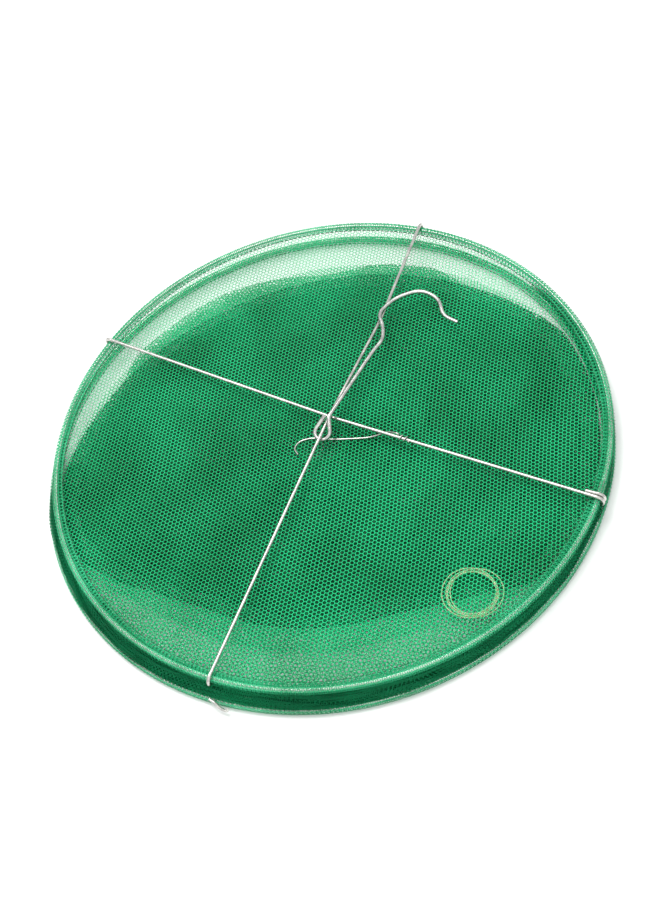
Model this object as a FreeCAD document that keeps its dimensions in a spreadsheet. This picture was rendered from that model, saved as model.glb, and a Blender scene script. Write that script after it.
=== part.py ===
"""Folding net trap: two sprung wire hoops joined by a net wall, with a net top, a net funnel
inside, two cross wires over the top and a swinging hanger hook. Modelled folded flat.

Frame: millimetres, +Z up, origin on the floor under the middle of the bottom hoop.
+Y runs along cross wire A.
"""
import FreeCAD, Part
import math
import os
import Sketcher
from FreeCAD import Vector

doc = FreeCAD.newDocument("FoldingNetTrap")

# ---------------------------------------------------------------- driving dimensions
DIMENSIONS = {
    "bottom_hoop_radius": 168.0,  # centreline of the bottom hoop's wire
    "top_hoop_radius": 165.0,  # centreline of the top hoop's wire
    "top_shift_x": 1.5,  # the folded hoops lie slightly off centre
    "top_shift_y": 3.75,
    "hoop_wire": 1.3,  # radius of the hoops' spring wire
    "sleeve_bore": 2.0,  # net sleeve round a hoop, inner and outer radius
    "sleeve_outer": 2.5,
    "floor_gap": 0.1,
    "hoop_spacing": 12.0,  # between the two hoops' centrelines when folded
    "ferrule_bore": 1.32,
    "ferrule_outer": 1.9,
    "ferrule_angle": 5.0,
    "hoop_angle": 359.8,  # the wire's two ends meet inside the ferrule
    "thread": 0.35,  # radius of the sewing thread
    "thread_inset": 2.95,  # thread line inside the hoop's centreline
    "net_thickness": 0.6,
    "top_net_inset": 3.4,
    "top_net_sag": 2.4,
    "fold_bottom": 5.4,  # the folded wall fills the space between the hoops
    "fold_top": 9.6,
    "wall_inner_radius": 155.0,
    "wall_outer_radius": 168.0,
    "funnel_outer_radius": 154.5,
    "throat_outer_radius": 15.7,
    "throat_inner_radius": 13.0,
    "throat_bottom": 7.6,
    "throat_top": 9.4,
    "soft_gap": 0.3,  # between soft solids that move apart
    "binding_width": 8.0,
    "binding_thickness": 0.5,
    "cross_wire": 1.0,  # radius of the cross wires
    "hook_wire": 1.2,
    "tie_wire": 0.5,
    "clip_wire": 0.8,
    "coil_radius": 14.8,  # hank of nylon line
    "coil_tube": 1.8,
    "coil_height": 1.0,
    "coil_x": 117.6,
    "coil_y": -70.7,
    "coil_z": 8.4,
}

sheet = doc.addObject("Spreadsheet::Sheet", "Sheet")
sheet.Label = "Dimensions"
for row, (alias, value) in enumerate(DIMENSIONS.items(), start=1):
    sheet.set(f"A{row}", alias)
    sheet.set(f"B{row}", str(value))
    sheet.setAlias(f"B{row}", alias)
doc.recompute()


def size(alias):
    """The value of a driving dimension, read from the sheet."""
    return float(getattr(sheet, alias))


BOTTOM_Z = "(Sheet.floor_gap + Sheet.sleeve_outer)"
TOP_Z = f"({BOTTOM_Z} + Sheet.hoop_spacing)"
bottom_z = size("floor_gap") + size("sleeve_outer")
top_z = bottom_z + size("hoop_spacing")
top_centre = Vector(size("top_shift_x"), size("top_shift_y"), top_z)
sub_parts = []


def keep(part, label):
    """Names a finished sub-part and lists it for export."""
    part.Label = label
    sub_parts.append(part)
    return part


# ---------------------------------------------------------------- round sub-parts
def torus(name, major, minor, height, shifted, angle="360", turned="0"):
    """A ring of round section about the vertical, with its sizes bound to the sheet."""
    ring = doc.addObject("Part::Torus", name)
    ring.setExpression("Radius1", major)
    ring.setExpression("Radius2", minor)
    ring.setExpression("Angle3", angle)
    ring.setExpression("Placement.Rotation.Angle", turned)
    ring.setExpression("Placement.Base.z", height)
    if shifted:
        ring.setExpression("Placement.Base.x", "Sheet.top_shift_x")
        ring.setExpression("Placement.Base.y", "Sheet.top_shift_y")
    return ring


def tube_ring(name, major, outer, bore, height, shifted, angle="360", turned="0"):
    """A hollow ring: one torus cut out of another."""
    shell = doc.addObject("Part::Cut", name)
    shell.Base = torus(name + "_outside", major, outer, height, shifted, angle, turned)
    shell.Tool = torus(name + "_bore", major, bore, height, shifted, angle, turned)
    return shell


def hoop_set(side, height, shifted):
    """The hoop's wire, the ferrule on its joint, the net sleeve round it and its thread."""
    major = f"Sheet.{side}_hoop_radius"
    hoop = torus(side + "_wire", major, "Sheet.hoop_wire", height, shifted, "Sheet.hoop_angle")
    keep(hoop, side + "_hoop")
    ferrule = tube_ring(
        side + "_crimp", major, "Sheet.ferrule_outer", "Sheet.ferrule_bore", height, shifted,
        "Sheet.ferrule_angle", "-Sheet.ferrule_angle / 2",
    )
    keep(ferrule, side + "_ferrule")
    sleeve = tube_ring(
        side + "_hem", major, "Sheet.sleeve_outer", "Sheet.sleeve_bore", height, shifted
    )
    keep(sleeve, side + "_sleeve")
    thread = torus(
        side + "_thread", f"{major} - Sheet.thread_inset", "Sheet.thread", height, shifted
    )
    keep(thread, side + "_stitching")


hoop_set("bottom", BOTTOM_Z, False)
hoop_set("top", TOP_Z, True)


# ---------------------------------------------------------------- soft sub-parts
ROUGH_SIZE = 10.0


def turned_body(name, corners, shifted=False):
    """A PartDesign body: a polygon of (radius, height) corners turned about the vertical."""
    body = doc.addObject("PartDesign::Body", name)
    plane = next(f for f in body.Origin.OriginFeatures if f.Role == "XZ_Plane")
    sketch = body.newObject("Sketcher::SketchObject", name + "_profile")
    sketch.AttachmentSupport = [(plane, "")]
    sketch.MapMode = "FlatFace"
    doc.recompute()
    # The sketch starts as a regular polygon clear of its axes; the constraints then size it.
    steps = [2.0 * math.pi * i / len(corners) for i in range(len(corners))]
    middle = Vector(ROUGH_SIZE, ROUGH_SIZE, 0.0)
    rough = [middle + Vector(math.cos(a), math.sin(a), 0.0) * ROUGH_SIZE for a in steps]
    for i, start in enumerate(rough):
        sketch.addGeometry(Part.LineSegment(start, rough[(i + 1) % len(rough)]), False)
    for i in range(len(corners)):
        after = (i + 1) % len(corners)
        sketch.addConstraint(Sketcher.Constraint("Coincident", i, 2, after, 1))
    for i, (radius, height) in enumerate(corners):
        if radius is None:
            sketch.addConstraint(Sketcher.Constraint("PointOnObject", i, 1, -2))
        else:
            across = Sketcher.Constraint("DistanceX", -1, 1, i, 1, rough[i].x)
            sketch.setExpression(f"Constraints[{sketch.addConstraint(across)}]", radius)
        up = Sketcher.Constraint("DistanceY", -1, 1, i, 1, rough[i].y)
        sketch.setExpression(f"Constraints[{sketch.addConstraint(up)}]", height)
    doc.recompute()
    turn = body.newObject("PartDesign::Revolution", name + "_turn")
    turn.Profile = sketch
    turn.ReferenceAxis = (sketch, ["V_Axis"])
    turn.Angle = 360.0
    body.Tip = turn
    if shifted:
        body.setExpression("Placement.Base.x", "Sheet.top_shift_x")
        body.setExpression("Placement.Base.y", "Sheet.top_shift_y")
    doc.recompute()
    return body


TOP_NET_EDGE = f"{TOP_Z} - Sheet.net_thickness"
top_net = turned_body(
    "disc",
    [
        (None, f"{TOP_NET_EDGE} - Sheet.net_thickness - Sheet.top_net_sag"),
        ("Sheet.top_hoop_radius - Sheet.top_net_inset", f"{TOP_NET_EDGE} - Sheet.net_thickness"),
        ("Sheet.top_hoop_radius - Sheet.top_net_inset", TOP_NET_EDGE),
        (None, f"{TOP_NET_EDGE} - Sheet.top_net_sag"),
    ],
    shifted=True,
)
keep(top_net, "top_net")

wall_net = turned_body(
    "wall",
    [
        ("Sheet.wall_inner_radius", "Sheet.fold_bottom"),
        ("Sheet.wall_outer_radius", "Sheet.fold_bottom"),
        ("Sheet.wall_outer_radius", "Sheet.fold_top"),
        ("Sheet.wall_inner_radius", "Sheet.fold_top"),
    ],
)
keep(wall_net, "wall_net")

funnel_net = turned_body(
    "funnel",
    [
        ("Sheet.throat_outer_radius + Sheet.soft_gap", "Sheet.throat_bottom"),
        ("Sheet.funnel_outer_radius", "Sheet.fold_bottom"),
        ("Sheet.funnel_outer_radius", "Sheet.fold_bottom + 2 * Sheet.net_thickness"),
        ("Sheet.throat_outer_radius + Sheet.soft_gap", "Sheet.throat_top"),
    ],
)
keep(funnel_net, "funnel_net")

throat_hem = turned_body(
    "throat",
    [
        ("Sheet.throat_inner_radius", "Sheet.throat_bottom"),
        ("Sheet.throat_outer_radius", "Sheet.throat_bottom"),
        ("Sheet.throat_outer_radius", "Sheet.throat_top"),
        ("Sheet.throat_inner_radius", "Sheet.throat_top"),
    ],
)
keep(throat_hem, "throat_hem")

# The bindings sewn over the wall's upright seam and over the funnel's sloping seam.
SEAM_ANGLE = 200.0
wall_binding = doc.addObject("Part::Box", "wall_binding")
wall_binding.setExpression("Length", "Sheet.binding_thickness")
wall_binding.setExpression("Width", "Sheet.binding_width")
wall_binding.setExpression("Height", "Sheet.fold_top - Sheet.fold_bottom")
seam_turn = FreeCAD.Rotation(Vector(0, 0, 1), SEAM_ANGLE)
seam_start = Vector(
    size("wall_outer_radius") + size("soft_gap"), -size("binding_width") / 2.0, size("fold_bottom")
)
wall_binding.Placement = FreeCAD.Placement(seam_turn.multVec(seam_start), seam_turn)
keep(wall_binding, "wall_seam_binding")

FUNNEL_SEAM_START = 22.0
FUNNEL_SEAM_LENGTH = 128.0
FUNNEL_SEAM_GAP = 0.1
funnel_rise = size("throat_top") - size("fold_bottom") - 2.0 * size("net_thickness")
funnel_run = size("funnel_outer_radius") - size("throat_outer_radius") - size("soft_gap")
funnel_slope = math.degrees(math.atan2(funnel_rise, funnel_run))
funnel_binding = doc.addObject("Part::Box", "funnel_binding")
funnel_binding.Length = FUNNEL_SEAM_LENGTH
funnel_binding.setExpression("Width", "Sheet.binding_width")
funnel_binding.setExpression("Height", "Sheet.binding_thickness")
slope_turn = seam_turn.multiply(FreeCAD.Rotation(Vector(0, 1, 0), funnel_slope))
start_height = size("throat_top") - math.tan(math.radians(funnel_slope)) * (
    FUNNEL_SEAM_START - size("throat_outer_radius") - size("soft_gap")
)
funnel_start = Vector(
    FUNNEL_SEAM_START, -size("binding_width") / 2.0, start_height + FUNNEL_SEAM_GAP
)
funnel_binding.Placement = FreeCAD.Placement(seam_turn.multVec(funnel_start), slope_turn)
keep(funnel_binding, "funnel_seam_binding")

# The hank of nylon line lies between the top net and the folded funnel: an oval-section ring.
coil = doc.addObject("Part::Feature", "coil")
oval = Part.Ellipse(Vector(0, 0, 0), size("coil_tube"), size("coil_height")).toShape()
oval.rotate(Vector(0, 0, 0), Vector(1, 0, 0), 90.0)
oval.translate(Vector(size("coil_radius"), 0, 0))
hank = Part.Face(Part.Wire([oval])).revolve(Vector(0, 0, 0), Vector(0, 0, 1), 360.0)
coil.Shape = hank if hank.ShapeType == "Solid" else Part.Solid(hank.Shells[0])
coil.Placement.Base = Vector(size("coil_x"), size("coil_y"), size("coil_z"))
keep(coil, "nylon_line_coil")


# ---------------------------------------------------------------- bent wires
NO_LENGTH = 1e-6  # a straight run shorter than this is left out
ARC_SHARE = 0.45  # of the shorter run beside a corner, taken by the corner's arc
VOLUME_ERROR = 0.03


def rounded(points, radii):
    """Straight runs through the points, joined by tangent arcs of the given radii."""
    edges = []
    here = points[0]
    for before, corner, after, radius in zip(points, points[1:], points[2:], radii):
        inward = (before - corner).normalize()
        outward = (after - corner).normalize()
        turn = math.pi - inward.getAngle(outward)
        back = radius * math.tan(turn / 2.0)
        start = corner + inward * back
        end = corner + outward * back
        bisector = (inward + outward).normalize()
        middle = corner + bisector * (radius / math.cos(turn / 2.0) - radius)
        if (start - here).Length > NO_LENGTH:
            edges.append(Part.LineSegment(here, start).toShape())
        edges.append(Part.Arc(start, middle, end).toShape())
        here = end
    edges.append(Part.LineSegment(here, points[-1]).toShape())
    return edges


def open_radii(points):
    """For each inner point, an arc as large as its two runs allow."""
    radii = []
    for before, corner, after in zip(points, points[1:], points[2:]):
        shorter = min((before - corner).Length, (after - corner).Length)
        turn = math.pi - (before - corner).getAngle(after - corner)
        radii.append(ARC_SHARE * shorter / math.tan(turn / 2.0))
    return radii


def bent_wire(label, edges, radius):
    """Round wire along tangent edges; its volume has to be its section times its length."""
    path = Part.Wire(edges)
    start = path.Edges[0]
    begin = start.valueAt(start.FirstParameter)
    heading = start.tangentAt(start.FirstParameter)
    section = Part.Wire([Part.Circle(begin, heading, radius).toShape()])
    solid = path.makePipeShell([section], True, False)
    expected = math.pi * radius ** 2 * path.Length
    if abs(solid.Volume - expected) > VOLUME_ERROR * expected:
        raise ValueError(f"{label}: volume {solid.Volume:.1f}, expected {expected:.1f}")
    print(f"{label}: {path.Length:.1f} mm of wire")
    wire = doc.addObject("Part::Feature", label + "_wire")
    wire.Shape = solid
    return keep(wire, label)


CLEAR = 0.1
WRAP_END = math.radians(-60.0)
WRAP_TOP = math.radians(90.0)
BEND_RADIUS = 120.0
DOUBLED_RETURN = 7.0
wrap_radius = size("sleeve_outer") + size("cross_wire") + CLEAR
wrap_top = top_z + wrap_radius


def rim_point(azimuth, angle, sideways=0.0):
    """A point on a wrap round the top sleeve: angle 0 is outward, 90 degrees is on top."""
    outward = Vector(math.cos(azimuth), math.sin(azimuth), 0)
    along = Vector(-outward.y, outward.x, 0)
    middle = top_centre + outward * size("top_hoop_radius") + along * sideways
    around = outward * math.cos(angle) + Vector(0, 0, math.sin(angle))
    return middle + around * wrap_radius


def wrap_arc(azimuth, first, last, sideways=0.0):
    """The arc of a wire bent down over the top sleeve."""
    ends = [rim_point(azimuth, a, sideways) for a in (first, (first + last) / 2.0, last)]
    return Part.Arc(*ends).toShape()


def towards(azimuth_point):
    """The direction of a point on the rim, seen from the middle of the top hoop."""
    return math.atan2(azimuth_point.y - top_centre.y, azimuth_point.x - top_centre.x)


def cross_wire(label, near, middle_points, far, doubled):
    """A wire from rim to rim: bent over the sleeve at both ends, straight runs between."""
    first = towards(near)
    last = towards(far)
    begin = rim_point(first, WRAP_TOP)
    finish = rim_point(last, WRAP_TOP)
    route = [begin, *middle_points, finish]
    run = rounded(route, [BEND_RADIUS] * len(middle_points))
    edges = [wrap_arc(first, WRAP_END, WRAP_TOP), *run, wrap_arc(last, WRAP_TOP, WRAP_END)]
    if doubled:
        pitch = 2.0 * size("cross_wire") + 3.0 * CLEAR
        down = rim_point(last, WRAP_END)
        beside = rim_point(last, WRAP_END, pitch)
        outward = Vector(math.cos(last), math.sin(last), 0)
        heading = outward * math.sin(WRAP_END) - Vector(0, 0, math.cos(WRAP_END))
        lowest = (down + beside) * 0.5 + heading * (pitch / 2.0)
        edges.append(Part.Arc(down, lowest, beside).toShape())
        edges.append(wrap_arc(last, WRAP_END, WRAP_TOP, pitch))
        over = rim_point(last, WRAP_TOP, pitch)
        edges.append(Part.LineSegment(over, over - outward * DOUBLED_RETURN).toShape())
    return bent_wire(label, edges, size("cross_wire"))


crossing = Vector(2.3, 13.0, wrap_top)
crossing_lift = 2.0 * size("cross_wire") + 1.5 * CLEAR
wire_b_far = Vector(168.0, -1.0, 0)
# Wire B lies straight on the rim; wire A is sprung up over it where they cross, and is bent
# a little to the right further along.
over_b = crossing + Vector(0, 0, crossing_lift)
a_bend = Vector(5.8, 88.0, wrap_top + crossing_lift / 2.0)
cross_wire("cross_wire_b", Vector(-165.0, 35.3, 0), [crossing], wire_b_far, doubled=True)
cross_wire("cross_wire_a", Vector(1.4, -163.0, 0), [over_b, a_bend], Vector(2.6, 171.0, 0), False)

# ---------------------------------------------------------------- hanger hook
# The eye is threaded on wire A beside the crossing. Its plane is tilted so that wire A passes
# through it; the shank lies along wire A and the open bight is bent to the right.
EYE_TILT = math.radians(25.0)
EYE_RADIUS = 4.6
EYE_OFFSET = 1.4
EYE_NECK = 9.5
NECK_GAP = 1.3
NECK_RADIUS = 3.0
PIVOT_SHARE = 0.94  # wire A has come down this much of the way at the pivot
pivot = Vector(2.15, 2.0, wrap_top + crossing_lift * PIVOT_SHARE)
eye_along = Vector(0, math.cos(EYE_TILT), math.sin(EYE_TILT))
eye_centre = pivot - eye_along * EYE_OFFSET
across = Vector(1, 0, 0)


def eye_point(angle):
    """A point of the eye's round part; angle 0 points along +X."""
    return eye_centre + (across * math.cos(angle) + eye_along * math.sin(angle)) * EYE_RADIUS


neck_left = eye_centre + eye_along * EYE_NECK - across * NECK_GAP
neck_right = eye_centre + eye_along * EYE_NECK + across * NECK_GAP
lean = math.atan2(EYE_RADIUS - NECK_GAP, EYE_NECK)
right_start = eye_point(lean)
left_end = eye_point(math.pi - lean)
eye_edges = [
    Part.LineSegment(neck_left, left_end).toShape(),
    Part.Arc(left_end, eye_point(-math.pi / 2.0), right_start).toShape(),
]
hook_rest = wrap_top + 4.0  # the height at which the bight lies over wire A
shank_route = [
    right_start,
    neck_right,
    Vector(11.6, 63.0, hook_rest + 0.6),
    Vector(14.2, 72.0, hook_rest + 0.4),
    Vector(10.4, 82.5, hook_rest + 0.1),
    Vector(3.9, 91.0, hook_rest),
    Vector(9.6, 105.0, hook_rest),
    Vector(23.0, 115.0, hook_rest),
    Vector(36.5, 111.0, hook_rest),
    Vector(43.5, 98.5, hook_rest),
    Vector(54.0, 95.5, hook_rest),
]
shank_radii = open_radii(shank_route)
shank_radii[0] = NECK_RADIUS
bent_wire("hanger_hook", eye_edges + rounded(shank_route, shank_radii), size("hook_wire"))

# ---------------------------------------------------------------- tie wire and rim clip
# Thin wire wound round wire B, then lying on the net below the eye, with a curled tail.
TIE_TURNS = 3
TIE_PITCH = 3.0
TIE_START = 54.0
WINDING_FIRST = math.radians(135.0)
QUARTER = math.radians(90.0)
wind_radius = size("cross_wire") + size("tie_wire") + CLEAR
b_far = rim_point(towards(wire_b_far), WRAP_TOP)
b_heading = (b_far - crossing).normalize()
b_side = Vector(-b_heading.y, b_heading.x, 0)


def winding_point(index):
    """A corner of the square-stepped winding round wire B, four to a turn."""
    along = (TIE_START - crossing.x) / b_heading.x - index * TIE_PITCH / 4.0
    angle = WINDING_FIRST + QUARTER * index
    corner = wind_radius / math.cos(QUARTER / 2.0)
    outward = b_side * math.cos(angle) + Vector(0, 0, math.sin(angle))
    return crossing + b_heading * along + outward * corner


net_top = top_z - size("net_thickness") - size("top_net_sag")
tie_lie = net_top + size("tie_wire") + CLEAR
tie_route = [winding_point(i) for i in range(4 * TIE_TURNS)]
tie_route += [
    Vector(38.0, 12.6, tie_lie + 4.0),
    Vector(29.0, 8.0, tie_lie + 1.2),
    Vector(17.0, 4.6, tie_lie + 0.2),
    Vector(4.0, 1.0, tie_lie),
    Vector(-6.0, -0.6, tie_lie + 0.2),
    Vector(-12.0, -5.0, tie_lie + 0.6),
    Vector(-13.0, -11.0, tie_lie + 1.0),
    Vector(-8.5, -14.6, tie_lie + 1.6),
]
bent_wire("tie_wire", rounded(tie_route, open_radii(tie_route)), size("tie_wire"))

# The tail of the bottom hoop's wire binding: it curls over the rim and stands out a little.
clip_reach = size("sleeve_outer") + size("clip_wire") + CLEAR
clip_angle = math.radians(58.0)
clip_top = bottom_z + clip_reach * math.sin(clip_angle)
clip_out = size("bottom_hoop_radius") + clip_reach * math.cos(clip_angle)
tail_out = 172.4
clip_route = [
    Vector(1.5, -clip_out, clip_top + 0.3),
    Vector(5.2, -(clip_out + 1.0), clip_top),
    Vector(9.0, -tail_out, bottom_z + 1.2),
    Vector(12.6, -tail_out, bottom_z + 0.2),
    Vector(13.4, -tail_out + 0.4, bottom_z + 2.6),
]
bent_wire("bottom_rim_curl", rounded(clip_route, open_radii(clip_route)), size("clip_wire"))

# ---------------------------------------------------------------- checks and export
doc.recompute()
for item in doc.Objects:
    if "Invalid" in item.State or "Error" in item.State:
        raise RuntimeError(f"{item.Label} failed: {item.State}")
for part in sub_parts:
    shape = part.Shape
    if shape.isNull() or not shape.isValid() or shape.Volume <= 0.0:
        raise RuntimeError(f"{part.Label} has no valid solid")

os.makedirs("parts", exist_ok=True)
for part in sub_parts:
    part.Shape.exportStep(f"parts/{part.Label}.step")
print(f"wrote {len(sub_parts)} sub-parts")
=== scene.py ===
"""Looks for the folding net trap: camera, nylon hank, nets, hems, stitches, seam bindings,
materials, floor and lights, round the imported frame. Lengths are in millimetres until a mesh
is made, and metres after that.
"""
import math

import bpy
import numpy as np
from mathutils import Matrix, Vector


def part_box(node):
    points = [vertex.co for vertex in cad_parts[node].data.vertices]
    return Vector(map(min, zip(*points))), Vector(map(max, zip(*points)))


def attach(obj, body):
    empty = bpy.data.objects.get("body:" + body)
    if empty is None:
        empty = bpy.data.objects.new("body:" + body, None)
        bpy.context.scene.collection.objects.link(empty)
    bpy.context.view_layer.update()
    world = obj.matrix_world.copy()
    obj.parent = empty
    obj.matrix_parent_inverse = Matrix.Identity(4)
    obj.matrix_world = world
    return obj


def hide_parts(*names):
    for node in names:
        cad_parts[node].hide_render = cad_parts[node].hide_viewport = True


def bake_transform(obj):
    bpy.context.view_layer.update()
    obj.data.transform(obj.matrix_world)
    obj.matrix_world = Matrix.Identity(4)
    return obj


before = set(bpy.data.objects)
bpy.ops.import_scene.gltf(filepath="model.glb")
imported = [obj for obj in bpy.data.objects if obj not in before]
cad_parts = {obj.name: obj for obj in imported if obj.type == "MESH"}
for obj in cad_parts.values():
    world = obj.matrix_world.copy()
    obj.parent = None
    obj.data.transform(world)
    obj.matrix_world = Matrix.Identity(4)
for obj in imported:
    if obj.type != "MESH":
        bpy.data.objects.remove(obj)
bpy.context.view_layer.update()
MM = 0.001
TAU = 2.0 * math.pi

# ---------------------------------------------------------------- camera
CAMERA_PLACE = Vector((295.16, -397.54, 673.44))
CAMERA_AHEAD = Vector((-0.3499, 0.47755, -0.80593)).normalized()
CAMERA_UP = Vector((-0.20728, 0.79952, 0.56374))
camera_data = bpy.data.cameras.new("camera")
camera = bpy.data.objects.new("camera", camera_data)
bpy.context.scene.collection.objects.link(camera)
right = CAMERA_AHEAD.cross(CAMERA_UP).normalized()
up = right.cross(CAMERA_AHEAD)
turn = Matrix((right, up, -CAMERA_AHEAD)).transposed().to_4x4()
camera.matrix_world = Matrix.Translation(CAMERA_PLACE * MM) @ turn
camera_data.sensor_fit = "VERTICAL"
camera_data.sensor_height = 36.0
camera_data.lens = 56.0
camera_data.clip_start = 0.01
camera_data.clip_end = 100.0
bpy.context.scene.camera = camera

# ---------------------------------------------------------------- hank of nylon line
LINE = 0.8
HANK = Vector((117.6, -70.7, 8.45))
HANK_RADIUS = 14.3
HANK_TURNS = 5.4
HANK_STEPS = 14  # points for each turn
HANK_START = math.radians(12.0)
HANK_FAN = Vector((-0.75, -0.10, 0.0))  # the way in which the loose turns fan out
HANK_SPREAD = 2.2
hank_points = []
for i in range(int(HANK_TURNS * HANK_STEPS) + 1):
    lap = i / HANK_STEPS
    angle = HANK_START - TAU * lap
    loose = HANK_RADIUS + 1.3 * math.sin(2.3 * lap + 0.6) + 0.4 * math.sin(5.1 * lap)
    fan = HANK_FAN * (HANK_SPREAD * math.sin(1.7 * lap + 0.4))
    lie = 0.42 * math.sin(1.35 * lap) + 0.18 * math.sin(3.0 * angle)
    hank_points.append(
        HANK + fan + Vector((loose * math.cos(angle), loose * math.sin(angle), lie))
    )
hank_curve = bpy.data.curves.new("nylon_line", "CURVE")
hank_curve.dimensions = "3D"
hank_curve.bevel_depth = 1.0  # the points' radii give the thickness, so bounds come out right
hank_curve.bevel_resolution = 3
hank_curve.resolution_u = 6
hank_curve.use_fill_caps = True
spline = hank_curve.splines.new("NURBS")
spline.points.add(len(hank_points) - 1)
for point, place in zip(spline.points, hank_points):
    point.co = (*(place * MM), 1.0)
    point.radius = LINE / 2.0 * MM
spline.order_u = 3
spline.use_endpoint_u = True
hank = bpy.data.objects.new("nylon_line", hank_curve)
bpy.context.scene.collection.objects.link(hank)
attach(hank, "bottom_frame")
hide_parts("nylon_line_coil")


# ---------------------------------------------------------------- materials
def new_material(name):
    """A material with an empty node tree, its tree, and its output node."""
    material = bpy.data.materials.new(name)
    material.use_nodes = True
    tree = material.node_tree
    tree.nodes.clear()
    return material, tree, tree.nodes.new("ShaderNodeOutputMaterial")


def make_math(tree):
    """Short calls that add a math node and return its output."""

    def join(node, values):
        for socket, value in zip(node.inputs, values):
            if isinstance(value, bpy.types.NodeSocket):
                tree.links.new(value, socket)
            elif value is not None:
                socket.default_value = value

    def scalar(operation, *values):
        node = tree.nodes.new("ShaderNodeMath")
        node.operation = operation
        join(node, values)
        return node.outputs[0]

    def vector(operation, *values, out=0):
        node = tree.nodes.new("ShaderNodeVectorMath")
        node.operation = operation
        join(node, values)
        return node.outputs[out]

    return scalar, vector


def ranged(tree, value, low, high, to_low, to_high):
    """value, mapped from low..high to to_low..to_high and held within it."""
    node = tree.nodes.new("ShaderNodeMapRange")
    tree.links.new(value, node.inputs["Value"])
    node.inputs["From Min"].default_value = low
    node.inputs["From Max"].default_value = high
    node.inputs["To Min"].default_value = to_low
    node.inputs["To Max"].default_value = to_high
    return node.outputs["Result"]


def blended(tree, share, first, second):
    """A colour between two colours, by share."""
    node = tree.nodes.new("ShaderNodeMix")
    node.data_type = "RGBA"
    tree.links.new(share, node.inputs[0])
    for socket, value in ((node.inputs[6], first), (node.inputs[7], second)):
        if isinstance(value, bpy.types.NodeSocket):
            tree.links.new(value, socket)
        else:
            socket.default_value = (*value, 1.0)
    return node.outputs[2]


def noise(tree, where, scale, detail=2.0):
    """Procedural noise over a place vector."""
    node = tree.nodes.new("ShaderNodeTexNoise")
    tree.links.new(where, node.inputs["Vector"])
    node.inputs["Scale"].default_value = scale
    node.inputs["Detail"].default_value = detail
    return node.outputs[0]


def bumped(tree, height, strength, distance):
    """A normal from a height."""
    node = tree.nodes.new("ShaderNodeBump")
    node.inputs["Strength"].default_value = strength
    node.inputs["Distance"].default_value = distance
    tree.links.new(height, node.inputs["Height"])
    return node.outputs["Normal"]


def principled(tree, output, **settings):
    """A Principled shader with sockets set by name; underscores stand for spaces."""
    shader = tree.nodes.new("ShaderNodeBsdfPrincipled")
    for name, value in settings.items():
        socket = shader.inputs[name.replace("_", " ")]
        if isinstance(value, bpy.types.NodeSocket):
            tree.links.new(value, socket)
        elif isinstance(value, tuple):
            socket.default_value = (*value, 1.0)
        else:
            socket.default_value = value
    tree.links.new(shader.outputs[0], output.inputs["Surface"])
    return shader


CELL = 2.43  # width of a net cell across its flats
CELL_EDGE_BLUR = 0.02  # of a cell, on each side of a strand's edge
# A lit and a deep colour for each net; net_material lays them in random patches, painted patches of
# light and shade. All the nets are one green fabric: the darker colours of WALL, SKIRT and INNER are
# painted shade, for net that lies in the gap between the hoops or under other layers, darkest in the
# heap. SKIRT is the funnel's outer runs of cloth; INNER is its heap, its one taut run, and the
# bindings.
TOP_COLOURS = ((0.014, 0.58, 0.225), (0.006, 0.42, 0.145))
WALL_SHADED_COLOURS = ((0.010, 0.46, 0.175), (0.005, 0.31, 0.115))
SKIRT_SHADED_COLOURS = ((0.007, 0.34, 0.130), (0.004, 0.21, 0.078))
INNER_SHADED_COLOURS = ((0.003, 0.105, 0.036), (0.001, 0.045, 0.014))
HEM_COLOURS = ((0.040, 0.52, 0.240), (0.015, 0.33, 0.130))


def net_material(name, strand, colours, gloss):
    """Knitted hexagonal net: open cells between strands, over flat coordinates in metres."""
    lit, deep = colours
    material, tree, output = new_material(name)
    scalar, vector = make_math(tree)
    flat = tree.nodes.new("ShaderNodeUVMap")
    flat.uv_map = "flat"
    half = (0.5, math.sqrt(3.0) / 2.0, 0.0)
    low = (-0.5, -math.sqrt(3.0) / 2.0, 0.0)
    place = vector("SCALE", flat.outputs[0])
    place.node.inputs["Scale"].default_value = 1.0 / (CELL * MM)
    even = vector("WRAP", place, half, low)
    odd = vector("WRAP", vector("SUBTRACT", place, half), half, low)
    nearer_odd = scalar(
        "GREATER_THAN", vector("LENGTH", even, out=1), vector("LENGTH", odd, out=1)
    )
    nearest = tree.nodes.new("ShaderNodeMix")
    nearest.data_type = "VECTOR"
    tree.links.new(nearer_odd, nearest.inputs[0])
    tree.links.new(even, nearest.inputs[4])
    tree.links.new(odd, nearest.inputs[5])
    folded = vector("ABSOLUTE", nearest.outputs[1])
    slanted = vector("DOT_PRODUCT", folded, half, out=1)
    upright = vector("DOT_PRODUCT", folded, (1.0, 0.0, 0.0), out=1)
    reach = scalar("MAXIMUM", slanted, upright)
    edge = 0.5 - strand / CELL / 2.0
    cover = ranged(tree, reach, edge - CELL_EDGE_BLUR, edge + CELL_EDGE_BLUR, 0.0, 1.0)
    round_top = ranged(tree, reach, edge, 0.5, 0.0, 1.0)
    geometry = tree.nodes.new("ShaderNodeNewGeometry")
    patchy = noise(tree, geometry.outputs["Position"], 24.0, 4.0)
    # Random patches of the lit and the deep colour: painted light and shade over the net's own
    # green.
    colour = blended(tree, ranged(tree, patchy, 0.35, 0.65, 0.0, 1.0), deep, lit)
    principled(
        tree, output, Base_Color=colour, Roughness=ranged(tree, patchy, 0.3, 0.7, 0.36, 0.5),
        Specular_IOR_Level=gloss, Alpha=cover, Normal=bumped(tree, round_top, 0.5, 0.0002),
    )
    return material


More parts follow.
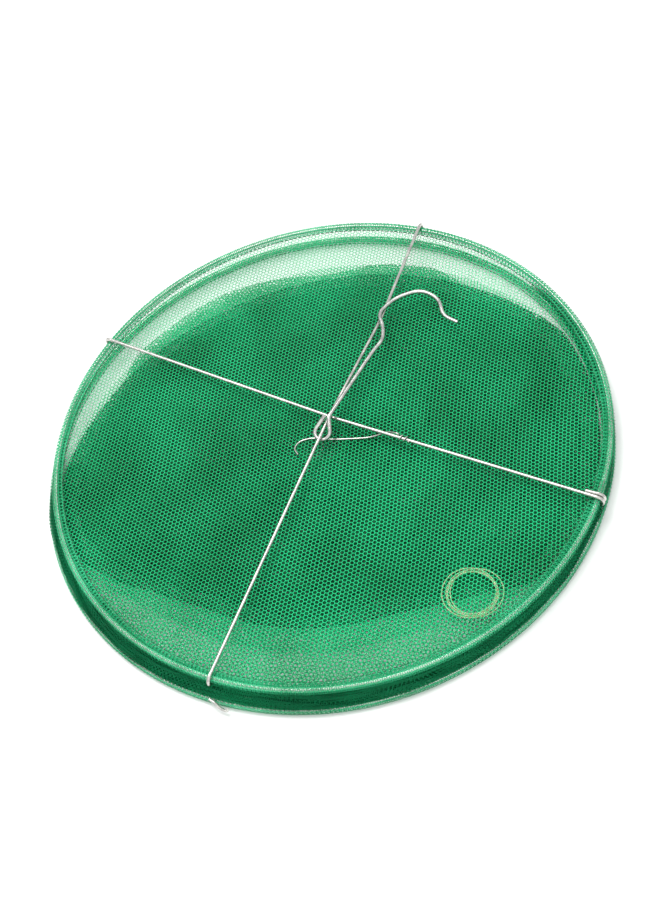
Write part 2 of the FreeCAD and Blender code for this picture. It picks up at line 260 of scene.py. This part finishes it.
def tape_material(name, lit, deep):
    """Narrow woven tape: fine crossed threads in the cloth's own flat coordinates."""
    material, tree, output = new_material(name)
    scalar = make_math(tree)[0]
    flat = tree.nodes.new("ShaderNodeUVMap")
    flat.uv_map = "flat"
    split = tree.nodes.new("ShaderNodeSeparateXYZ")
    tree.links.new(flat.outputs[0], split.inputs[0])
    threads = 4200.0  # radians per metre of tape
    warp = scalar("SINE", scalar("MULTIPLY", split.outputs[0], threads))
    weft = scalar("SINE", scalar("MULTIPLY", split.outputs[1], threads))
    weave = scalar("MULTIPLY", warp, weft)
    fuzz = noise(tree, flat.outputs[0], 900.0, 3.0)
    height = scalar("ADD", weave, fuzz)
    colour = blended(tree, ranged(tree, height, -0.6, 1.5, 0.0, 1.0), deep, lit)
    principled(
        tree, output, Base_Color=colour, Roughness=ranged(tree, fuzz, 0.3, 0.7, 0.7, 0.9),
        Specular_IOR_Level=0.15, Normal=bumped(tree, height, 0.6, 0.0002),
    )
    return material


def thread_material(name, lit, deep):
    """Twisted sewing thread."""
    material, tree, output = new_material(name)
    geometry = tree.nodes.new("ShaderNodeNewGeometry")
    fuzz = noise(tree, geometry.outputs["Position"], 2500.0, 3.0)
    principled(
        tree, output, Base_Color=blended(tree, fuzz, deep, lit),
        Roughness=ranged(tree, fuzz, 0.3, 0.7, 0.5, 0.7), Normal=bumped(tree, fuzz, 0.5, 0.0002),
    )
    return material


def steel_material(name, bright, dull, roughness):
    """Bright galvanised wire: a cloudy zinc skin and small scuffs."""
    material, tree, output = new_material(name)
    scalar = make_math(tree)[0]
    geometry = tree.nodes.new("ShaderNodeNewGeometry")
    place = geometry.outputs["Position"]
    cloud = noise(tree, place, 160.0, 3.0)
    scuff = noise(tree, place, 1400.0, 2.0)
    both = scalar("ADD", scalar("MULTIPLY", cloud, 0.7), scalar("MULTIPLY", scuff, 0.3))
    colour = blended(tree, ranged(tree, both, 0.38, 0.62, 0.0, 1.0), dull, bright)
    principled(
        tree, output, Base_Color=colour, Metallic=1.0,
        Roughness=ranged(tree, both, 0.35, 0.65, roughness - 0.06, roughness + 0.1),
        Normal=bumped(tree, scuff, 0.25, 0.0001),
    )
    return material


def nylon_material(name):
    """Clear monofilament with a faint yellow-green tint."""
    material, tree, output = new_material(name)
    geometry = tree.nodes.new("ShaderNodeNewGeometry")
    smear = noise(tree, geometry.outputs["Position"], 500.0)
    principled(
        tree, output, Base_Color=blended(tree, smear, (0.50, 0.68, 0.32), (0.72, 0.84, 0.52)),
        Transmission_Weight=0.5, IOR=1.5, Specular_IOR_Level=0.8,
        Roughness=ranged(tree, smear, 0.3, 0.7, 0.1, 0.22),
        Normal=bumped(tree, smear, 0.2, 0.0001),
    )
    return material


# Widths of the nets' strands, set by zone so that each zone has its tone.
TOP_STRAND = 0.37
WALL_STRAND = 0.34
FUNNEL_STRAND = 0.52
TAUT_STRAND = 0.11
SKIRT_STRAND = 0.49
HEM_STRAND = 0.45
net_top = net_material("net_top", TOP_STRAND, TOP_COLOURS, 0.16)
# The wall's, skirt's, taut run's, heap's and bindings' nets take darker colours, painted shade of
# the layers over them.
net_wall = net_material("net_wall", WALL_STRAND, WALL_SHADED_COLOURS, 0.12)
net_taut = net_material("net_taut", TAUT_STRAND, INNER_SHADED_COLOURS, 0.12)
net_skirt = net_material("net_skirt", SKIRT_STRAND, SKIRT_SHADED_COLOURS, 0.10)
net_funnel = net_material("net_funnel", FUNNEL_STRAND, INNER_SHADED_COLOURS, 0.08)
net_hem = net_material("net_hem", HEM_STRAND, HEM_COLOURS, 0.16)
net_binding = net_material("net_binding", HEM_STRAND, INNER_SHADED_COLOURS, 0.08)
tape = tape_material("seam_tape", (0.003, 0.13, 0.040), (0.001, 0.07, 0.020))
thread = thread_material("thread", (0.007, 0.14, 0.05), (0.003, 0.07, 0.025))
spring_steel = steel_material("spring_steel", (0.86, 0.86, 0.83), (0.60, 0.60, 0.58), 0.24)
cross_steel = steel_material("cross_wire_zinc", (0.66, 0.65, 0.61), (0.42, 0.42, 0.40), 0.22)
hook_steel = steel_material("hook_zinc", (0.60, 0.60, 0.57), (0.36, 0.36, 0.35), 0.24)
ferrule_steel = steel_material("ferrule_zinc", (0.46, 0.46, 0.44), (0.30, 0.30, 0.29), 0.38)
nylon = nylon_material("nylon")
hank_curve.materials.append(nylon)

NODE_STEEL = {
    "bottom_hoop": spring_steel,
    "top_hoop": spring_steel,
    "bottom_ferrule": ferrule_steel,
    "top_ferrule": ferrule_steel,
    "cross_wire_a": cross_steel,
    "cross_wire_b": cross_steel,
    "tie_wire": cross_steel,
    "bottom_rim_curl": cross_steel,
    "hanger_hook": hook_steel,
}
for node_name, steel in NODE_STEEL.items():
    node_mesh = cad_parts[node_name].data
    node_mesh.materials.clear()
    node_mesh.materials.append(steel)
    node_mesh.shade_smooth()


# ---------------------------------------------------------------- mesh helpers
def grid_piece(name, points, flat, material, closed):
    """A sheet from a grid of points in millimetres, with its flat coordinates.

    closed: the grid's second direction comes back to its start."""
    rows, columns = points.shape[:2]
    steps = columns if closed else columns - 1
    row, column = np.meshgrid(np.arange(rows - 1), np.arange(steps), indexing="ij")
    after = (column + 1) % columns
    corners = [
        row * columns + column,
        row * columns + after,
        (row + 1) * columns + after,
        (row + 1) * columns + column,
    ]
    faces = np.stack(corners, axis=-1).reshape(-1, 4)
    mesh = bpy.data.meshes.new(name)
    mesh.from_pydata((points.reshape(-1, 3) * MM).tolist(), [], faces.tolist())
    layer = mesh.uv_layers.new(name="flat")
    across = np.stack([column, column + 1, column + 1, column], axis=-1).reshape(-1)
    along = np.stack([row, row, row + 1, row + 1], axis=-1).reshape(-1)
    layer.data.foreach_set("uv", (flat(along, across) * MM).astype(np.float32).ravel())
    mesh.materials.append(material)
    mesh.shade_smooth()
    piece = bpy.data.objects.new(name, mesh)
    bpy.context.scene.collection.objects.link(piece)
    return piece


def waves(seed, count, lowest, highest):
    """A smooth repeating function of an angle, from -1 to 1 or so, from seeded sine waves."""
    random = np.random.default_rng(seed)
    turns = random.integers(lowest, highest + 1, count)
    phases = random.uniform(0.0, TAU, count)
    sizes = random.uniform(0.5, 1.0, count)
    sizes /= np.sqrt((sizes**2).sum() / 2.0) * 1.6

    def value(angle):
        total = np.zeros_like(angle)
        for times, phase, size in zip(turns, phases, sizes):
            total = total + size * np.sin(times * angle + phase)
        return total

    return value


def eased(value, low, high):
    """0 below low, 1 above high, smooth between."""
    t = np.clip((value - low) / (high - low), 0.0, 1.0)
    return t * t * (3.0 - 2.0 * t)


def even_rise(share):
    """The share of height at rest whose smoothstep is share."""
    return 0.5 - np.sin(np.arcsin(1.0 - 2.0 * share) / 3.0)


# ---------------------------------------------------------------- sizes taken from the frame
def ring_of(node):
    """Centre x, centre y, height and centreline radius of a hoop, in millimetres."""
    low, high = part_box(node)
    middle = (low + high) / 2.0 / MM
    wire = (high.z - low.z) / 2.0 / MM
    return middle.x, middle.y, middle.z, (high.y - low.y) / 2.0 / MM - wire


bottom_x, bottom_y, bottom_z, bottom_radius = ring_of("bottom_hoop")
top_x, top_y, top_z, top_radius = ring_of("top_hoop")
FAR_SIDE = math.radians(126.6)  # the side on which the folded net is pulled taut


# ---------------------------------------------------------------- sleeves and their stitches
SLEEVE_TAIL = [(-4.9, 0.35), (-3.9, 0.5)]  # out from the hoop's centreline, and up
SLEEVE_END = [(-3.9, -0.1)]
WRAP_RADII = (2.4, 2.1)
WRAP_STEPS = 15
WRAP_TURN = 155.0  # degrees each way from the outermost point of the hoop
RUFFLE = 0.5


def sleeve(side, centre_x, centre_y, height, radius, seed, snugness):
    """Net wrapped twice round a hoop and sewn flat just inside it, tighter on the taut side."""
    columns = 420
    ruffle = waves(seed, 9, 12, 60)
    angle = np.linspace(0.0, TAU, columns, endpoint=False)
    lap = list(SLEEVE_TAIL)
    for wrap_radius in WRAP_RADII:
        for step in range(WRAP_STEPS):
            bend = math.radians(WRAP_TURN - 2.0 * WRAP_TURN * step / (WRAP_STEPS - 1))
            lap.append((wrap_radius * math.cos(bend), wrap_radius * math.sin(bend)))
    lap = np.array(lap + SLEEVE_END)
    width = np.concatenate([[0.0], np.cumsum(np.hypot(*np.diff(lap, axis=0).T))])
    loose = np.clip(-(lap[:, 0] + 3.0) / 3.0, 0.0, 1.0)
    shift = RUFFLE * loose[:, None] * ruffle(angle)[None, :]
    snug = 1.0 - snugness * eased(np.cos(angle - FAR_SIDE), -0.2, 0.6)
    out = radius + lap[:, 0][:, None] * snug + shift
    points = np.stack(
        [
            centre_x + out * np.cos(angle),
            centre_y + out * np.sin(angle),
            height + lap[:, 1][:, None] * snug,
        ],
        axis=-1,
    )
    around = TAU * radius

    def flat(along, across):
        return np.stack([across / columns * around, width[along]], axis=-1)

    piece = grid_piece(side + "_sleeve_net", points, flat, net_hem, True)
    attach(piece, side + "_frame")
    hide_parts(side + "_sleeve")


def stitches(side, centre_x, centre_y, height, radius, seed):
    """A row of lock stitches through the sleeve's seam."""
    random = np.random.default_rng(seed)
    inset = 4.3  # of the seam from the hoop's centreline
    stray = 0.12
    count = 330
    sides = 6
    half = 1.25  # of a stitch's length
    ends = np.array([(-half, 0.12), (-1.0, 0.3), (0.0, 0.36), (1.0, 0.3), (half, 0.12)])
    vertices, faces = [], []
    for i in range(count):
        middle = TAU * i / count
        skew = random.uniform(-0.06, 0.06)
        reach = radius - inset + random.uniform(-stray, stray)
        for along, thick in ends:
            angle = middle + along / reach
            for k in range(sides):
                bend = TAU * k / sides
                out = reach + along * skew + thick * math.cos(bend)
                lift = 0.42 - 0.25 * (along / half) ** 2 + thick * math.sin(bend)
                vertices.append(
                    (
                        (centre_x + out * math.cos(angle)) * MM,
                        (centre_y + out * math.sin(angle)) * MM,
                        (height + lift) * MM,
                    )
                )
        base = i * sides * len(ends)
        for ring in range(len(ends) - 1):
            for k in range(sides):
                a = base + ring * sides + k
                b = base + ring * sides + (k + 1) % sides
                faces.append((a, b, b + sides, a + sides))
        faces.append(tuple(base + k for k in reversed(range(sides))))
        faces.append(tuple(base + (len(ends) - 1) * sides + k for k in range(sides)))
    mesh = bpy.data.meshes.new(side + "_stitches")
    mesh.from_pydata(vertices, [], faces)
    mesh.materials.append(thread)
    mesh.shade_smooth()
    piece = bpy.data.objects.new(side + "_stitches", mesh)
    bpy.context.scene.collection.objects.link(piece)
    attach(piece, side + "_frame")
    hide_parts(side + "_stitching")


for side, ring, seed, snugness in (
    ("bottom", (bottom_x, bottom_y, bottom_z, bottom_radius), 11, 0.28),
    ("top", (top_x, top_y, top_z, top_radius), 12, 0.12),
):
    sleeve(side, *ring, seed, snugness)
    stitches(side, *ring, seed + 20)


# ---------------------------------------------------------------- top net
def build_top_net():
    """One taut disc of net, dished a little, its edge inside the sleeve's seam."""
    rings = 44
    columns = 200
    middle = 0.6  # radius of the innermost ring
    edge = top_radius - 2.3
    share = np.linspace(0.0, 1.0, rings) ** 0.9
    radius = (middle + (edge - middle) * share)[:, None]
    angle = np.linspace(0.0, TAU, columns, endpoint=False)[None, :]
    x = radius * np.cos(angle)
    y = radius * np.sin(angle)
    deepest = 2.2
    dish = deepest * (1.0 - (radius / edge) ** 2)
    slack = 0.16 * np.sin(x / 17.0 + 0.8 * np.sin(y / 23.0)) * np.sin(y / 14.0 + 1.0)
    slack = slack * (1.0 - (radius / edge) ** 6)
    z = top_z - 0.75 - dish + slack
    points = np.stack([top_x + x, top_y + y, z], axis=-1)
    warp_x = x + 1.3 * np.sin(y / 37.0) + 0.7 * np.sin(x / 19.0 + 1.0)
    warp_y = y + 1.5 * np.sin(x / 41.0 + 0.5) + 0.6 * np.sin(y / 23.0)
    lean = math.radians(17.0)  # of the net's rows from the x axis
    flat_x = warp_x * math.cos(lean) - warp_y * math.sin(lean)
    flat_y = warp_x * math.sin(lean) + warp_y * math.cos(lean)

    def flat(along, across):
        wrapped = across % columns
        return np.stack([flat_x[along, wrapped], flat_y[along, wrapped]], axis=-1)

    piece = grid_piece("top_net_mesh", points, flat, net_top, True)
    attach(piece, "top_frame")
    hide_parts("top_net")


build_top_net()

# ---------------------------------------------------------------- net wall between the hoops
WALL_HEIGHT = 375.0
WALL_ROWS = 110
WALL_FOLD = 5.0  # depth of its folds on the slack side
WALL_TAUT_FOLD = 0.03
SEAM = math.radians(200.0)
BINDING = 7.0  # width of a seam's binding
BINDING_PROUD = 0.3
wall_low = bottom_z + 2.3
wall_high = top_z - 2.2
wall_fold_size = waves(31, 10, 3, 26)
wall_drift = waves(33, 7, 2, 9)


def wall_point(row, angle, proud=0.0):
    """A point of the wall at a fold's row, from the bottom hoop up, and an angle."""
    share = row / WALL_ROWS
    near = eased(-np.cos(angle - FAR_SIDE), -0.42, 0.05)
    uneven = 1.5 * wall_fold_size(angle + 0.21 * row)
    size = WALL_TAUT_FOLD + near * (WALL_FOLD + uneven + 0.7 * np.sin(2.1 * row))
    saw = (row % 2) - 0.5
    ends = eased(share, 0.0, 0.04) * eased(1.0 - share, 0.0, 0.04)
    slack = 4.0 * share * (1.0 - share)
    centre_x = bottom_x + (top_x - bottom_x) * share
    centre_y = bottom_y + (top_y - bottom_y) * share
    radius = (bottom_radius - 0.9) * (1.0 - share) + (top_radius - 0.6) * share + proud
    radius = radius - slack * near * (1.8 + 0.9 * wall_drift(angle)) + saw * size * ends
    height = wall_low + (wall_high - wall_low) * even_rise(share)
    return np.stack(
        [centre_x + radius * np.cos(angle), centre_y + radius * np.sin(angle), height], axis=-1
    )


def seam_angles(span, columns):
    """Angles across a seam's binding, from its width as an angle."""
    return SEAM + np.linspace(-0.5, 0.5, columns) * span


def build_wall():
    """The net tube between the hoops, folded like a bellows."""
    columns = 360
    rows = np.arange(WALL_ROWS + 1)
    row, angle = np.meshgrid(rows, np.linspace(0.0, TAU, columns, endpoint=False), indexing="ij")
    around = TAU * (bottom_radius + top_radius) / 2.0

    def flat(along, across):
        return np.stack([across / columns * around, along / WALL_ROWS * WALL_HEIGHT], axis=-1)

    piece = grid_piece("wall_net_mesh", wall_point(row, angle), flat, net_wall, True)
    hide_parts("wall_net")
    binding_columns = 7
    row, angle = np.meshgrid(
        rows, seam_angles(BINDING / bottom_radius, binding_columns), indexing="ij"
    )

    def flat_binding(along, across):
        width = across / (binding_columns - 1) * BINDING
        return np.stack([width, along / WALL_ROWS * WALL_HEIGHT], axis=-1)

    binding = grid_piece(
        "wall_seam_tape", wall_point(row, angle, BINDING_PROUD), flat_binding, net_binding, False
    )
    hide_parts("wall_seam_binding")
    return piece, binding


def blend_wall(piece):
    """Bakes a piece of the wall's placement into its mesh."""
    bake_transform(piece)


for wall_piece in build_wall():
    blend_wall(wall_piece)

# ---------------------------------------------------------------- funnel net
FUNNEL_SLANT = 345.0
throat_low, throat_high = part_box("throat_hem")
throat_radius = (throat_high.x - throat_low.x) / 2.0 / MM
funnel_low = bottom_z + 0.7
funnel_high = throat_high.z / MM - 0.5
FUNNEL_PLEATS = 13
PLEATS_END = 32.0  # radius at which the regular pleats stop
PLEAT_OVERLAP = 3.2  # depth of a pleat, in pitches
FUNNEL_INSET = 5.6  # of the seam from the bottom hoop's centreline
SKIRT_INSET = 3.0
INNERMOST = 1.2
LEAST_CREST = 19.0
LAP = 9.0  # width of the band of thinner net beside the heap on the far side
GATHER = 0.17
ASTRAY = 7.0  # how far the folds over the middle wander
HEAP_SIDE = math.radians(124.0)  # where the heap stops furthest from the rim behind
HEAP_NEAREST = 131.5
HEAP_SPREAD = 37.0
HEAP_FURTHEST = 161.6
HEAP_FRONT = 121.0
FRONT = math.radians(76.0)  # the front lies at minus this angle
CREASED = math.radians(70.0)  # and the side with the strongest creases at minus this one
pleat_size = waves(41, 12, 5, 30)
pleat_wobble = [waves(50 + i, 8, 2, 11) for i in range(FUNNEL_PLEATS)]
pleat_swell = waves(42, 6, 2, 7)
heap_drift = waves(43, 5, 1, 4)
creases = waves(44, 7, 7, 21)
gather_turns = np.array([9, 14, 19, 23, 31, 38, 47])
gather_phases = np.array([0.4, 2.2, 5.1, 1.3, 3.9, 0.9, 4.4])


def heap_edge(angle):
    """How far out the heap of folded net reaches: near the rim behind, short of it in front."""
    spread = HEAP_SPREAD * (1.0 - np.cos(angle - HEAP_SIDE))
    far = np.minimum(HEAP_NEAREST + spread, HEAP_FURTHEST)
    front = in_front(angle)
    return far * (1.0 - front) + HEAP_FRONT * front


def in_front(angle):
    """1 on the side where the heap stops short of the rim, 0 elsewhere."""
    return eased(np.cos(angle + FRONT), 0.40, 0.95)


def funnel_rings(angle):
    """Radii of the funnel cloth's fold lines, from the bottom hoop to the throat."""
    edge = heap_edge(angle)
    outer = bottom_radius - FUNNEL_INSET
    size = 1.0 + 0.12 * pleat_size(angle) + 0.08 * pleat_swell(angle)
    skirt = outer - SKIRT_INSET
    creased = eased(np.cos(angle + CREASED), 0.1, 0.8)
    crease = creases(angle) * (0.35 + 0.65 * creased)
    rings = [np.full_like(angle, outer), edge + 0.35 * (outer - edge)]
    side = (angle - HEAP_SIDE + math.pi) % TAU - math.pi
    wider = 5.0 * np.exp(-(((side - 0.31) / 0.28) ** 2))
    narrower = 5.0 * np.exp(-(((side + 0.24) / 0.16) ** 2))
    lap = (LAP + wider - narrower) * eased(-np.abs(side), -0.92, -0.70)
    front = eased(np.cos(angle + FRONT), 0.24, 0.50)
    pitch = (edge - PLEATS_END) / (FUNNEL_PLEATS - 2.0)
    for i in range(FUNNEL_PLEATS):
        step = max(0.0, i - 1.0) / (FUNNEL_PLEATS - 2.0)
        loose = math.sin(math.pi * min(1.0, step * 1.1))
        crest = edge - pitch * max(0.0, i - 1.0) + (0.5 + 2.0 * loose) * pleat_wobble[i](angle)
        crest = crest + loose * (5.0 * heap_drift(angle) + 4.0 * crease)
        depth = PLEAT_OVERLAP * pitch * size
        if i == 0:
            depth = depth + lap * (1.0 - front) + (skirt - edge) * front
            crest = (edge + lap) * (1.0 - front) + skirt * front + 0.5 * pleat_wobble[i](angle)
        trough = np.maximum(crest - depth, INNERMOST)
        if i >= FUNNEL_PLEATS - 2:
            trough = np.full_like(angle, INNERMOST)
        rings += [trough, np.maximum(crest, LEAST_CREST)]
    rings.append(np.full_like(angle, throat_radius + 0.2))
    return np.stack(rings)


def funnel_gather(share, angle):
    """The angle of the cloth after it is gathered: bunched and spread in turn round the throat."""
    shift = np.zeros_like(angle)
    for times, phase in zip(gather_turns, gather_phases):
        shift = shift + np.sin(times * angle + phase) / times
    return angle + GATHER * eased(share, 0.06, 0.30) * shift


funnel_even = np.linspace(0.0, TAU, 720, endpoint=False)
funnel_runs = np.abs(np.diff(funnel_rings(funnel_even), axis=0)).mean(axis=1)
funnel_stops = np.concatenate([[0.0], np.cumsum(np.maximum(funnel_runs, 4.0))])
funnel_stops /= funnel_stops[-1]
FUNNEL_STEPS = np.array([0.0, 0.04, 0.32, 0.64, 0.96])  # close together beside a fold
funnel_shares = np.concatenate(
    [a + (b - a) * FUNNEL_STEPS for a, b in zip(funnel_stops, funnel_stops[1:])] + [[1.0]]
)


def funnel_points(angle, sunk=0.0):
    """The funnel's cloth at rest, for angles of the flat cloth."""
    rings = funnel_rings(angle)
    radius = np.stack(
        [np.interp(funnel_shares, funnel_stops, rings[:, k]) for k in range(len(angle))], axis=1
    )
    share = np.repeat(funnel_shares[:, None], len(angle), axis=1)
    around = funnel_gather(share, np.repeat(angle[None, :], len(funnel_shares), axis=0))
    height = funnel_low + (funnel_high - funnel_low) * even_rise(share) - sunk
    over_middle = np.clip(1.0 - radius / 40.0, 0.0, 1.0)
    astray = ASTRAY * over_middle * eased(1.0 - share, 0.0, 0.02)
    swing = 37.0 * share
    x = radius * np.cos(around) + astray * np.cos(swing)
    y = radius * np.sin(around) + astray * np.sin(swing)
    return np.stack([x, y, height], axis=-1)


HEM_GIRTH = 6.6


def build_throat():
    """The throat's rolled hem, a little ruffled by the gathers."""
    columns = 160
    sides = 14
    angle = np.linspace(0.0, TAU, columns, endpoint=False)
    bend = np.linspace(0.0, TAU, sides + 1)
    ruffle = waves(61, 8, 18, 44)(angle)[None, :]
    middle = throat_radius - 1.35
    half_width = 1.2
    half_height = 0.8
    out = middle + half_width * np.cos(bend)[:, None] + 0.14 * ruffle
    level = (throat_low.z + throat_high.z) / 2.0 / MM
    rise = level + half_height * np.sin(bend)[:, None] + 0.06 * ruffle
    points = np.stack([out * np.cos(angle), out * np.sin(angle), rise], axis=-1)

    def flat(along, across):
        return np.stack([across / columns * TAU * middle, along / sides * HEM_GIRTH], axis=-1)

    piece = grid_piece("throat_hem_roll", points, flat, tape, True)
    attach(piece, "throat")
    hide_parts("throat_hem")
    return piece


RUN_LEAN = 2.4  # each run of cloth between folds turns and shifts its pattern by these
RUN_SHIFT = 7.3
TAUT_RUNS = 1
SKIRT_RUNS = 4  # with the taut ones


def build_funnel():
    """The inner funnel, sewn to the bottom hoop, collapsed into a heap of small folds."""
    columns = 340
    points = funnel_points(np.linspace(0.0, TAU, columns, endpoint=False))

    def flat(along, across):
        run = np.repeat(along.reshape(-1, 4)[:, 0] // len(FUNNEL_STEPS), 4)
        place = points[along, across % columns]
        lean = RUN_LEAN * run
        x = place[:, 0] * np.cos(lean) - place[:, 1] * np.sin(lean) + RUN_SHIFT * run
        y = place[:, 0] * np.sin(lean) + place[:, 1] * np.cos(lean)
        return np.stack([x, y], axis=-1)

    piece = grid_piece("funnel_net_mesh", points, flat, net_taut, True)
    piece.data.materials.append(net_skirt)
    piece.data.materials.append(net_funnel)
    run_faces = len(FUNNEL_STEPS) * columns
    cloth = np.full(len(piece.data.polygons), 2, dtype=np.int32)
    cloth[: SKIRT_RUNS * run_faces] = 1
    cloth[: TAUT_RUNS * run_faces] = 0
    piece.data.polygons.foreach_set("material_index", cloth)
    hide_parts("funnel_net")
    binding_columns = 5
    angles = seam_angles(0.5 * BINDING / bottom_radius, binding_columns)

    def flat_binding(along, across):
        width = across / (binding_columns - 1) * BINDING / 2.0
        return np.stack([width, funnel_shares[along] * FUNNEL_SLANT], axis=-1)

    binding = grid_piece(
        "funnel_seam_tape", funnel_points(angles, 0.03), flat_binding, net_binding, False
    )
    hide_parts("funnel_seam_binding")
    build_throat()
    return piece, binding


def blend_funnel(piece):
    """Bakes a piece of the funnel's placement into its mesh."""
    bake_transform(piece)


for funnel_piece in build_funnel():
    blend_funnel(funnel_piece)

# ---------------------------------------------------------------- floor, world and lights
floor_mesh = bpy.data.meshes.new("floor")
FLOOR = 40.0  # metres from the middle to each side
floor_mesh.from_pydata(
    [(-FLOOR, -FLOOR, 0.0), (FLOOR, -FLOOR, 0.0), (FLOOR, FLOOR, 0.0), (-FLOOR, FLOOR, 0.0)],
    [],
    [(0, 1, 2, 3)],
)
floor = bpy.data.objects.new("floor", floor_mesh)
bpy.context.scene.collection.objects.link(floor)
floor_material, floor_tree, floor_output = new_material("pale_floor")
floor_place = floor_tree.nodes.new("ShaderNodeNewGeometry")
floor_noise = noise(floor_tree, floor_place.outputs["Position"], 9.0)
principled(
    floor_tree, floor_output,
    Base_Color=blended(floor_tree, floor_noise, (0.88, 0.88, 0.88), (0.91, 0.91, 0.91)),
    Roughness=0.9,
)
floor_mesh.materials.append(floor_material)

HORIZON_GLOW = 0.80
ZENITH_GLOW = 1.10
world = bpy.data.worlds.new("studio")
bpy.context.scene.world = world
world.use_nodes = True
sky = world.node_tree
sky_place = sky.nodes.new("ShaderNodeTexCoord")
sky_split = sky.nodes.new("ShaderNodeSeparateXYZ")
sky.links.new(sky_place.outputs["Generated"], sky_split.inputs[0])
sky_glow = ranged(sky, sky_split.outputs[2], 0.1, 0.9, HORIZON_GLOW, ZENITH_GLOW)
sky.nodes["Background"].inputs[0].default_value = (1.0, 1.0, 1.0, 1.0)
sky.links.new(sky_glow, sky.nodes["Background"].inputs[1])


def soft_light(name, place, size, energy):
    """A square area light that faces the middle of the trap."""
    data = bpy.data.lights.new(name, "AREA")
    data.shape = "SQUARE"
    data.size = size
    data.energy = energy
    light = bpy.data.objects.new(name, data)
    bpy.context.scene.collection.objects.link(light)
    light.location = place
    light.rotation_mode = "QUATERNION"
    light.rotation_quaternion = (-Vector(place)).to_track_quat("-Z", "Y")


soft_light("key", (-0.45, 0.30, 1.6), 1.0, 21.0)
soft_light("fill", (0.9, -1.0, 1.1), 1.2, 3.0)

scene = bpy.context.scene
scene.view_settings.view_transform = "Standard"
scene.cycles.transparent_max_bounces = 40

bpy.context.view_layer.update()
